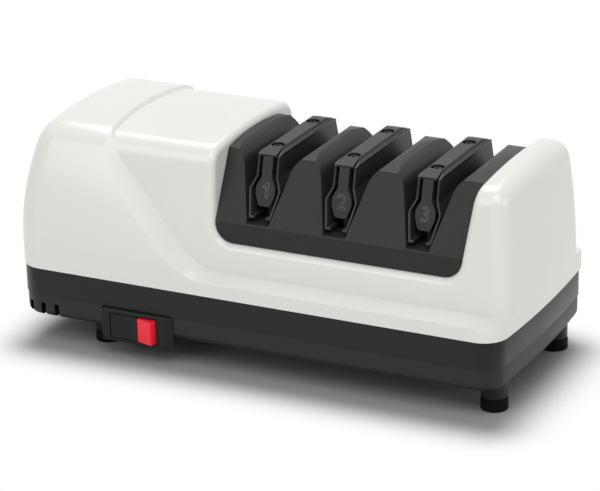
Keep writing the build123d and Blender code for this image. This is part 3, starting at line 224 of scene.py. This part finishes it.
def moulded_group():
    """Moulded plastic: clouds in colour and gloss, spark-eroded grain and a long low waviness as heights in metres."""
    group, wires, link = new_group("moulded_skin", ("Gloss", "Drift", "Grain", "Grain Depth", "Wave Depth"))
    given, put = wires.new("NodeGroupInput"), wires.new("NodeGroupOutput")
    place = wires.new("ShaderNodeTexCoord").outputs["Object"]
    cloud = add_node(wires, "ShaderNodeTexNoise", {"Scale": 22.0, "Detail": 3.0})
    speck = add_node(wires, "ShaderNodeTexNoise", {"Detail": 2.0})
    fine = add_node(wires, "ShaderNodeMath", operation="MULTIPLY")
    height = add_node(wires, "ShaderNodeMath", operation="MULTIPLY_ADD")
    bump = add_node(wires, "ShaderNodeBump", {"Distance": 1.0})
    link(place, cloud.inputs["Vector"])
    link(place, speck.inputs["Vector"])
    link(given.outputs["Grain"], speck.inputs["Scale"])
    link(speck.outputs["Fac"], fine.inputs[0])
    link(given.outputs["Grain Depth"], fine.inputs[1])
    link(cloud.outputs["Fac"], height.inputs[0])
    link(given.outputs["Wave Depth"], height.inputs[1])
    link(fine.outputs[0], height.inputs[2])
    link(height.outputs[0], bump.inputs["Height"])
    link(bump.outputs["Normal"], put.inputs["Normal"])
    drifting(wires, link, cloud.outputs["Fac"], given, put)
    return group


def surfaced(name, group, colour, values, **plain):
    """A material whose colour, roughness and normal come from a group. plain are the shader's own sockets."""
    made, wires, joins, shader = new_shader(name)
    skin = wires.new("ShaderNodeGroup")
    skin.node_tree = group
    skin.inputs["Color"].default_value = (*colour, 1.0)
    for socket, value in values.items():
        skin.inputs[socket].default_value = value
    for start, end in (("Color", "Base Color"), ("Roughness", "Roughness"), ("Normal", "Normal")):
        joins.new(skin.outputs[start], shader.inputs[end])
    for socket, value in plain.items():
        shader.inputs[socket.replace("_", " ")].default_value = value
    return made


moulded_skin = moulded_group()


def moulded(name, colour, gloss, drift, grain_depth, wave_depth=1e-5, **plain):
    """A moulded plastic. gloss is its mean roughness."""
    return surfaced(name, moulded_skin, colour, {"Gloss": gloss, "Drift": drift, "Grain": GRAIN,
                                                 "Grain Depth": grain_depth, "Wave Depth": wave_depth}, **plain)


def finish(material, *names):
    """Gives pieces of the frame their material."""
    for name in names:
        nodes[name].data.materials.clear()
        nodes[name].data.materials.append(material)


def ease(width, *names):
    """Rounds the sharp edges of mouldings over this width, as the radii of a mould do."""
    for name in names:
        weld = nodes[name].modifiers.new("weld", "WELD")
        weld.merge_threshold = WELD
        bevel = nodes[name].modifiers.new("ease", "BEVEL")
        bevel.width = width
        bevel.segments = EDGE_STEPS
        bevel.limit_method = "ANGLE"
        bevel.angle_limit = EDGE_ANGLE
        bevel.harden_normals = True


cover_finish = moulded("cover_gloss_white", COVER_WHITE, 0.25, 0.03, 1e-6, 1.0e-4,
                       Coat_Weight=0.30, Coat_Roughness=0.17)
finish(cover_finish, "top_cover")
ease(COVER_ROUND, "top_cover")

# ---- Base frame and pan
# Both are moulded in black plastic with a fine spark-eroded grain. The pan is screwed up under the
# frame, and the clean-out door snaps into the pan.
BASE_BLACK = (0.0035, 0.0045, 0.0045)
PAN_BLACK = (0.010, 0.011, 0.011)
BASE_ROUND = 0.0006
base_finish = moulded("base_satin_black", BASE_BLACK, 0.34, 0.14, 0.8e-5, Specular_IOR_Level=0.32)
pan_finish = moulded("pan_satin_black", PAN_BLACK, 0.38, 0.14, 1.0e-5, Specular_IOR_Level=0.32)
finish(base_finish, "base_frame")
finish(pan_finish, "base_pan", "cleanout_cover")
ease(BASE_ROUND, "base_frame", "base_pan", "cleanout_cover")

# ---- Feet
# Four turned rubber feet under the stems of the pan. Each has a groove at the top, a slightly
# hollow side, a rounded tread and a pocket for the head of its screw.
FOOT_PROFILE = ((1.65, 2.6), (3.8, 2.6), (3.8, 0.5), (4.1, 0.1), (4.6, 0.0), (5.6, 0.0), (6.05, 0.12), (6.35, 0.4),
                (6.47, 0.8), (6.42, 1.8), (6.38, 2.8), (6.42, 3.8), (6.47, 4.5), (6.40, 4.9), (6.15, 5.15),
                (5.85, 5.25), (5.8, 5.45), (5.8, 6.4), (5.7, 6.5), (1.65, 6.5))
MM = 0.001
POLE = 5e-6
BEND = math.radians(35.0)
FOOT_SIDES = 64


def turned_grid(profile, sides):
    """A surface of revolution about Z: row i, column j is (r_i cos t_j, r_i sin t_j, z_i), t_j = 2 pi j / sides."""
    r, z = np.array(profile, float).T
    t = np.linspace(0.0, 2 * math.pi, sides, endpoint=False)
    grid = np.stack((r[:, None] * np.cos(t), r[:, None] * np.sin(t), np.repeat(z[:, None], sides, 1)), -1)
    return grid * MM


def ring_faces(rows, sides, closed):
    """Quads between neighbouring rows and columns of a grid that goes round, and from the last row to the first."""
    i, j = np.meshgrid(np.arange(rows if closed else rows - 1), np.arange(sides), indexing="ij")
    up, on = (i + 1) % rows, (j + 1) % sides
    return np.stack((i * sides + j, i * sides + on, up * sides + on, up * sides + j), -1).reshape(-1, 4)


def put_mesh(name, points, faces, material, body):
    """A piece from points and faces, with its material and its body. Points closer than POLE are made
    one, which closes the ends of a turned shape, and bends over the angle BEND stay sharp."""
    mesh = bpy.data.meshes.new(name)
    mesh.from_pydata(points.reshape(-1, 3).tolist(), [], faces.tolist())
    skin = bmesh.new()
    skin.from_mesh(mesh)
    bmesh.ops.remove_doubles(skin, verts=skin.verts, dist=POLE)
    skin.to_mesh(mesh)
    skin.free()
    mesh.materials.append(material)
    mesh.shade_smooth()
    mesh.set_sharp_from_angle(angle=BEND)
    piece = bpy.data.objects.new(name, mesh)
    scene.collection.objects.link(piece)
    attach(piece, body)
    return piece


rubber_finish = moulded("foot_rubber", (0.0030, 0.0030, 0.0030), 0.62, 0.25, 2.5e-5, Specular_IOR_Level=0.10)
for node in ("foot_front_left", "foot_back_left", "foot_front_right", "foot_back_right"):
    low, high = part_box(node)
    middle = np.array(((low.x + high.x) / 2, (low.y + high.y) / 2, low.z))
    grid = turned_grid(FOOT_PROFILE, FOOT_SIDES) + middle
    foot = put_mesh(node.replace("foot", "rubber_foot"), grid, ring_faces(len(FOOT_PROFILE), FOOT_SIDES, True),
                    rubber_finish, "housing")
    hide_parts(node)

# ---- Cord inlet
# A rubber bush in the rear wall with a flange on each side of it and three grip rings on its collar.
# The machine has no cord here.
INLET_PROFILE = ((3.2, 0.0), (5.2, 0.0), (5.4, 0.2), (5.4, 1.6), (5.2, 1.8), (4.4, 1.8), (4.4, 4.3), (5.2, 4.3),
                 (5.4, 4.5), (5.4, 5.7), (5.1, 6.1), (4.6, 6.2), (4.4, 6.5), (4.4, 7.0), (4.1, 7.1), (4.1, 7.4),
                 (4.4, 7.5), (4.4, 8.0), (4.1, 8.1), (4.1, 8.4), (4.4, 8.5), (4.35, 9.1), (4.1, 9.45), (3.8, 9.5),
                 (3.4, 9.45), (3.2, 9.2))
INLET_SIDES = 48
low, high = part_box("cord_gland")
seat = np.array(((low.x + high.x) / 2, low.y, (low.z + high.z) / 2))
grid = turned_grid(INLET_PROFILE, INLET_SIDES)[..., [0, 2, 1]] + seat
inlet = put_mesh("cord_inlet", grid, ring_faces(len(INLET_PROFILE), INLET_SIDES, True)[:, ::-1], rubber_finish,
                 "housing")
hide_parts("cord_gland")

# ---- Guide module
# One dark grey moulding with four hollow fins that drops into the opening of the cover. It is held by
# screws from below.
MODULE_GREY = (0.020, 0.023, 0.022)
MODULE_ROUND = 0.0009
module_finish = moulded("module_satin_grey", MODULE_GREY, 0.42, 0.12, 1.3e-5, Specular_IOR_Level=0.20)
finish(module_finish, "guide_module")
ease(MODULE_ROUND, "guide_module")

# ---- Cores, spring leaves and strips
# Between each pair of fins stands a keyhole core under a bar, and on either side of it a springy
# leaf that presses the blade against the fin. All are moulded.
CORE_ROUND, LEAF_ROUND = 0.0005, 0.0003
core_finish = moulded("core_satin_grey", (0.024, 0.027, 0.026), 0.40, 0.12, 1.0e-5, Specular_IOR_Level=0.25)
strip_finish = moulded("strip_satin_grey", (0.013, 0.015, 0.015), 0.36, 0.12, 0.8e-5, Specular_IOR_Level=0.22)
for n in (1, 2, 3):
    finish(core_finish, f"guide_core_{n}", f"leaf_{n}_left", f"leaf_{n}_right")
    ease(CORE_ROUND, f"guide_core_{n}", f"top_strip_{n}")
    ease(LEAF_ROUND, f"leaf_{n}_left", f"leaf_{n}_right")
    finish(strip_finish, f"top_strip_{n}")

# ---- Stage numbers
# Raised outline numbers on the sloping front face of each core, part of the moulding.
NUMBER_SIZE = 0.0098
NUMBER_LINE = 0.00020
NUMBER_STEPS, LINE_STEPS = 8, 2
ONE = ((-0.02, -0.36), (0.11, -0.36), (0.11, 0.36), (0.00, 0.36), (-0.20, 0.20), (-0.14, 0.10), (-0.02, 0.18))
FACE_TOP, FACE_FOOT = (-28.8, 102.4), (-34.6, 79.7)
NUMBER_HEIGHT = 87.0
number_finish = moulded("number_edge_grey", (0.10, 0.105, 0.10), 0.35, 0.1, 1e-6)
slope = (FACE_FOOT[0] - FACE_TOP[0]) / (FACE_FOOT[1] - FACE_TOP[1])
rise = np.array((0.0, slope, 1.0)) / math.hypot(slope, 1.0)
for n in (1, 2, 3):
    low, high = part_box(f"guide_core_{n}")
    if n == 1:
        drawn = bpy.data.curves.new("number_1", "CURVE")
        drawn.dimensions = "2D"
        line = drawn.splines.new("POLY")
        line.points.add(len(ONE) - 1)
        for point, (x, y) in zip(line.points, ONE):
            point.co = (x * NUMBER_SIZE, y * NUMBER_SIZE, 0.0, 1.0)
        line.use_cyclic_u = True
    else:
        drawn = bpy.data.curves.new(f"number_{n}", "FONT")
        drawn.body = str(n)
        drawn.size = NUMBER_SIZE
        drawn.align_x, drawn.align_y = "CENTER", "CENTER"
    drawn.fill_mode = "NONE"
    drawn.bevel_depth = NUMBER_LINE
    drawn.bevel_resolution = LINE_STEPS
    drawn.resolution_u = NUMBER_STEPS
    sketch = bpy.data.objects.new("sketch", drawn)
    scene.collection.objects.link(sketch)
    bpy.context.view_layer.update()
    mesh = bpy.data.meshes.new_from_object(sketch.evaluated_get(bpy.context.evaluated_depsgraph_get()))
    bpy.data.objects.remove(sketch)
    points = np.empty(len(mesh.vertices) * 3, np.float32)
    mesh.vertices.foreach_get("co", points)
    points = points.reshape(-1, 3)
    points[:, :2] -= (points[:, :2].min(0) + points[:, :2].max(0)) / 2
    face_y = FACE_TOP[0] + slope * (NUMBER_HEIGHT - FACE_TOP[1])
    seat = np.array(((low.x + high.x) / 2, MM * face_y, MM * NUMBER_HEIGHT))
    out_of_face = np.cross((1.0, 0.0, 0.0), rise)
    placed = seat + points[:, :1] * (1.0, 0.0, 0.0) + points[:, 1:2] * rise + points[:, 2:] * out_of_face
    mesh.vertices.foreach_set("co", placed.astype(np.float32).ravel())
    mesh.materials.clear()
    mesh.materials.append(number_finish)
    number = bpy.data.objects.new(f"stage_number_{n}", mesh)
    scene.collection.objects.link(number)
    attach(number, "housing")

# ---- Strip screws
# Blackened pan-head screws with a cross recess, two in each strip, in counterbores.
HEAD_PROFILE = ((0.001, 1.44), (0.35, 1.44), (0.7, 1.43), (1.05, 1.40), (1.4, 1.34), (1.75, 1.24), (2.1, 1.10),
                (2.4, 0.90), (2.62, 0.62), (2.72, 0.30), (2.72, 0.0), (1.2, 0.0), (1.2, -8.2), (0.8, -9.0),
                (0.001, -9.0))
HEAD_RADIUS, HEAD_HEIGHT = 2.72, 1.44
CROSS_HALF, CROSS_REACH, CROSS_DEPTH, CROSS_SIDE = 0.42, 1.55, 0.85, 0.22
SCREW_SIDES = 48
screw_black = surfaced("screw_black_oxide", moulded_skin, (0.035, 0.035, 0.036),
                       {"Gloss": 0.32, "Drift": 0.3, "Grain": 3000.0, "Grain Depth": 4e-6, "Wave Depth": 1e-6},
                       Metallic=1.0)


def pressed_cross(grid):
    """The head's top with a cross pressed in: z falls by the depth times the larger of two slots' soft-edged masks."""
    x, y = abs(grid[..., 0]) / MM, abs(grid[..., 1]) / MM
    slot_one = np.clip((CROSS_HALF - x) / CROSS_SIDE + 1, 0, 1) * np.clip((CROSS_REACH - y) / CROSS_SIDE, 0, 1)
    slot_two = np.clip((CROSS_HALF - y) / CROSS_SIDE + 1, 0, 1) * np.clip((CROSS_REACH - x) / CROSS_SIDE, 0, 1)
    top = grid[..., 2] > 0
    grid[..., 2] -= MM * CROSS_DEPTH * np.maximum(slot_one, slot_two) * top
    return grid


low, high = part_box("strip_screws")
head_rim = HEAD_RADIUS * MM
seat_height = high.z - HEAD_HEIGHT * MM
heads = []
for n in (1, 2, 3):
    core_low, core_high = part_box(f"guide_core_{n}")
    for y in (low.y + head_rim, high.y - head_rim):
        centre = np.array(((core_low.x + core_high.x) / 2, y, seat_height))
        heads.append(pressed_cross(turned_grid(HEAD_PROFILE, SCREW_SIDES)) + centre)
faces = ring_faces(len(HEAD_PROFILE), SCREW_SIDES, False)
count = len(HEAD_PROFILE) * SCREW_SIDES
all_faces = np.concatenate([faces + k * count for k in range(len(heads))])[:, ::-1]
screws = put_mesh("strip_screw_set", np.concatenate([h.reshape(-1, 3) for h in heads]), all_faces, screw_black,
                  "housing")
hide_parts("strip_screws")

# ---- Switch
# A rocker switch in a sloping bezel of the base's black plastic. The left half of the rocker is
# black, the right half a red lens.
LENS_RED = (0.98, 0.014, 0.045)
BEZEL_ROUND, ROCKER_ROUND = 0.0007, 0.0005
switch_finish = moulded("switch_satin_black", (0.0065, 0.0075, 0.0075), 0.30, 0.12, 0.8e-5, Specular_IOR_Level=0.22)
lens_finish = moulded("lens_red", LENS_RED, 0.24, 0.08, 2e-6, 2e-5, Coat_Weight=0.15, Coat_Roughness=0.1,
                      Specular_IOR_Level=0.3)
finish(switch_finish, "switch_body", "rocker")
finish(lens_finish, "rocker_lens")
ease(BEZEL_ROUND, "switch_body")
ease(ROCKER_ROUND, "rocker", "rocker_lens")

# ---- Grinding discs
# Stages one and two turn steel discs with a bonded abrasive, stage three a pair of cream polymer
# ones. The grain shows as fine glitter on the cone.


def grit_group():
    """Bonded abrasive: crystals of a Voronoi pattern as height, each with its own brightness and gloss."""
    group, wires, link = new_group("bonded_grit", ("Gloss", "Drift", "Grain", "Grain Depth"))
    given, put = wires.new("NodeGroupInput"), wires.new("NodeGroupOutput")
    place = wires.new("ShaderNodeTexCoord").outputs["Object"]
    crystal = add_node(wires, "ShaderNodeTexVoronoi")
    shade = add_node(wires, "ShaderNodeRGBToBW")
    height = add_node(wires, "ShaderNodeMath", operation="MULTIPLY")
    bump = add_node(wires, "ShaderNodeBump", {"Distance": 1.0})
    link(place, crystal.inputs["Vector"])
    link(given.outputs["Grain"], crystal.inputs["Scale"])
    link(crystal.outputs["Color"], shade.inputs[0])
    link(crystal.outputs["Distance"], height.inputs[0])
    link(given.outputs["Grain Depth"], height.inputs[1])
    link(height.outputs[0], bump.inputs["Height"])
    link(bump.outputs["Normal"], put.inputs["Normal"])
    drifting(wires, link, shade.outputs[0], given, put)
    return group


bonded_grit = grit_group()
steel_disc = surfaced("disc_grit_on_steel", bonded_grit, (0.62, 0.62, 0.60),
                      {"Gloss": 0.38, "Drift": 0.7, "Grain": 4500.0, "Grain Depth": -2.5e-5}, Metallic=1.0)
cream_disc = surfaced("disc_cream_polymer", bonded_grit, (0.74, 0.69, 0.55),
                      {"Gloss": 0.65, "Drift": 0.25, "Grain": 3500.0, "Grain Depth": -2.0e-5})
for n, disc_finish in ((1, steel_disc), (2, steel_disc), (3, cream_disc)):
    finish(disc_finish, f"disc_{n}_left", f"disc_{n}_right")

# ---- Turned and pressed metal
# Shaft, pins, screws, bolts and brackets inside the machine: drawn or ground steel, zinc plated
# sheet, sintered bronze and brass terminals.


def drawn_group():
    """Worked metal: streaks that run along X, in colour, gloss and height."""
    group, wires, link = new_group("drawn_metal", ("Gloss", "Drift", "Streak Depth"))
    given, put = wires.new("NodeGroupInput"), wires.new("NodeGroupOutput")
    stretched = add_node(wires, "ShaderNodeMapping", {"Scale": (60.0, 1400.0, 1400.0)})
    streak = add_node(wires, "ShaderNodeTexNoise", {"Scale": 1.0, "Detail": 3.0})
    height = add_node(wires, "ShaderNodeMath", operation="MULTIPLY")
    bump = add_node(wires, "ShaderNodeBump", {"Distance": 1.0})
    link(wires.new("ShaderNodeTexCoord").outputs["Object"], stretched.inputs["Vector"])
    link(stretched.outputs["Vector"], streak.inputs["Vector"])
    link(streak.outputs["Fac"], height.inputs[0])
    link(given.outputs["Streak Depth"], height.inputs[1])
    link(height.outputs[0], bump.inputs["Height"])
    link(bump.outputs["Normal"], put.inputs["Normal"])
    drifting(wires, link, streak.outputs["Fac"], given, put)
    return group


drawn_metal = drawn_group()
for name, colour, gloss, members in (
        ("shaft_ground_steel", (0.60, 0.60, 0.61), 0.22, ("drive_shaft", "drive_pins")),
        ("screw_zinc", (0.55, 0.56, 0.58), 0.30, ("foot_screws", "cover_screws", "module_screws", "motor_bolts",
                                                   "motor_screws", "end_screws")),
        ("sheet_zinc", (0.56, 0.57, 0.58), 0.36, ("bracket_rear", "bracket_front", "motor_spacers", "end_bracket")),
        ("bearing_bronze", (0.56, 0.36, 0.17), 0.42, ("bearing_rear", "bearing_front", "bearing_end")),
        ("terminal_brass", (0.72, 0.55, 0.24), 0.28, ("switch_terminals",))):
    finish(surfaced(name, drawn_metal, colour, {"Gloss": gloss, "Drift": 0.35, "Streak Depth": 4e-6}, Metallic=1.0),
           *members)

# ---- Disc springs
# Bright steel compression springs, one between the two discs of each stage. A coil is made in two
# halves, and each half closes up with the disc on its side.
COIL_RADIUS, WIRE_RADIUS, COIL_TURNS = 0.0062, 0.0006, 3.5
COIL_STEPS, WIRE_SIDES = 90, 12
bright_wire = surfaced("spring_bright_wire", drawn_metal, (0.66, 0.66, 0.66),
                       {"Gloss": 0.20, "Drift": 0.35, "Streak Depth": 4e-6}, Metallic=1.0)


def coil_grid(start, end, turns_from, turns_to):
    """A round wire along a helix about X, its ends closed to a point. At the turn t the middle of the wire is
    (x, R sin 2 pi t, -R cos 2 pi t), with x even from start to end. Around it goes a circle in the plane of the
    radius and the direction square to radius and wire."""
    turn = 2 * math.pi * np.linspace(turns_from, turns_to, COIL_STEPS)
    x = np.linspace(start, end, COIL_STEPS)
    middle = np.stack((x, COIL_RADIUS * np.sin(turn), -COIL_RADIUS * np.cos(turn)), -1)
    radius = np.stack((0 * turn, np.sin(turn), -np.cos(turn)), -1)
    rise = (end - start) / (turn[-1] - turn[0])
    along = np.stack((0 * turn + rise, COIL_RADIUS * np.cos(turn), COIL_RADIUS * np.sin(turn)), -1)
    along /= math.hypot(rise, COIL_RADIUS)
    side = np.cross(radius, along)
    v = 2 * math.pi * np.arange(WIRE_SIDES) / WIRE_SIDES
    wall = middle[:, None] + WIRE_RADIUS * (np.cos(v)[:, None] * radius[:, None] + np.sin(v)[:, None] * side[:, None])
    ends = np.repeat(middle[[0, -1], None], WIRE_SIDES, 1)
    return np.concatenate((ends[:1], wall, ends[1:]))


for n in (1, 2, 3):
    low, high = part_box(f"disc_spring_{n}")
    centre = np.array([(low[k] + high[k]) / 2 for k in range(3)])
    half_length = (high.x - low.x) / 2
    reach = half_length - WIRE_RADIUS
    for side, start, end, turns in (("left", -reach, 0.0, (0.0, COIL_TURNS / 2)),
                                    ("right", 0.0, reach, (COIL_TURNS / 2, COIL_TURNS))):
        coil = put_mesh(f"spring_coil_{n}_{side}", coil_grid(start, end, *turns) + centre,
                        ring_faces(COIL_STEPS + 2, WIRE_SIDES, False)[:, ::-1], bright_wire, "drive")
        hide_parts(f"disc_spring_{n}")
        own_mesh(coil)

# ---- Motor
# A small open motor: stacked laminations, coils of enamelled copper wire, a moulded fan and a black
# ferrite magnet in the clean-out door.


def layered_group():
    """Layers along one direction: a wave of sheets or turns in colour, gloss and height."""
    group, wires, link = new_group("layered_stack", ("Gloss", "Drift", "Layers", "Layer Depth"))
    given, put = wires.new("NodeGroupInput"), wires.new("NodeGroupOutput")
    layer = add_node(wires, "ShaderNodeTexWave", {"Distortion": 0.6, "Detail": 1.0}, bands_direction="X")
    height = add_node(wires, "ShaderNodeMath", operation="MULTIPLY")
    bump = add_node(wires, "ShaderNodeBump", {"Distance": 1.0})
    link(wires.new("ShaderNodeTexCoord").outputs["Object"], layer.inputs["Vector"])
    link(given.outputs["Layers"], layer.inputs["Scale"])
    link(layer.outputs["Fac"], height.inputs[0])
    link(given.outputs["Layer Depth"], height.inputs[1])
    link(height.outputs[0], bump.inputs["Height"])
    link(bump.outputs["Normal"], put.inputs["Normal"])
    drifting(wires, link, layer.outputs["Fac"], given, put)
    return group


layered_stack = layered_group()
finish(surfaced("stack_of_sheets", layered_stack, (0.30, 0.30, 0.31),
                {"Gloss": 0.45, "Drift": 0.6, "Layers": 620.0, "Layer Depth": 4e-5}, Metallic=1.0), "stator", "rotor")
finish(surfaced("enamelled_wire", layered_stack, (0.55, 0.21, 0.09),
                {"Gloss": 0.30, "Drift": 0.5, "Layers": 520.0, "Layer Depth": 1e-4}, Metallic=0.6), "field_coils")
finish(moulded("fan_grey", (0.09, 0.09, 0.10), 0.45, 0.15, 1e-5), "fan")
finish(moulded("magnet_ferrite", (0.03, 0.03, 0.033), 0.6, 0.3, 3e-5), "magnet")
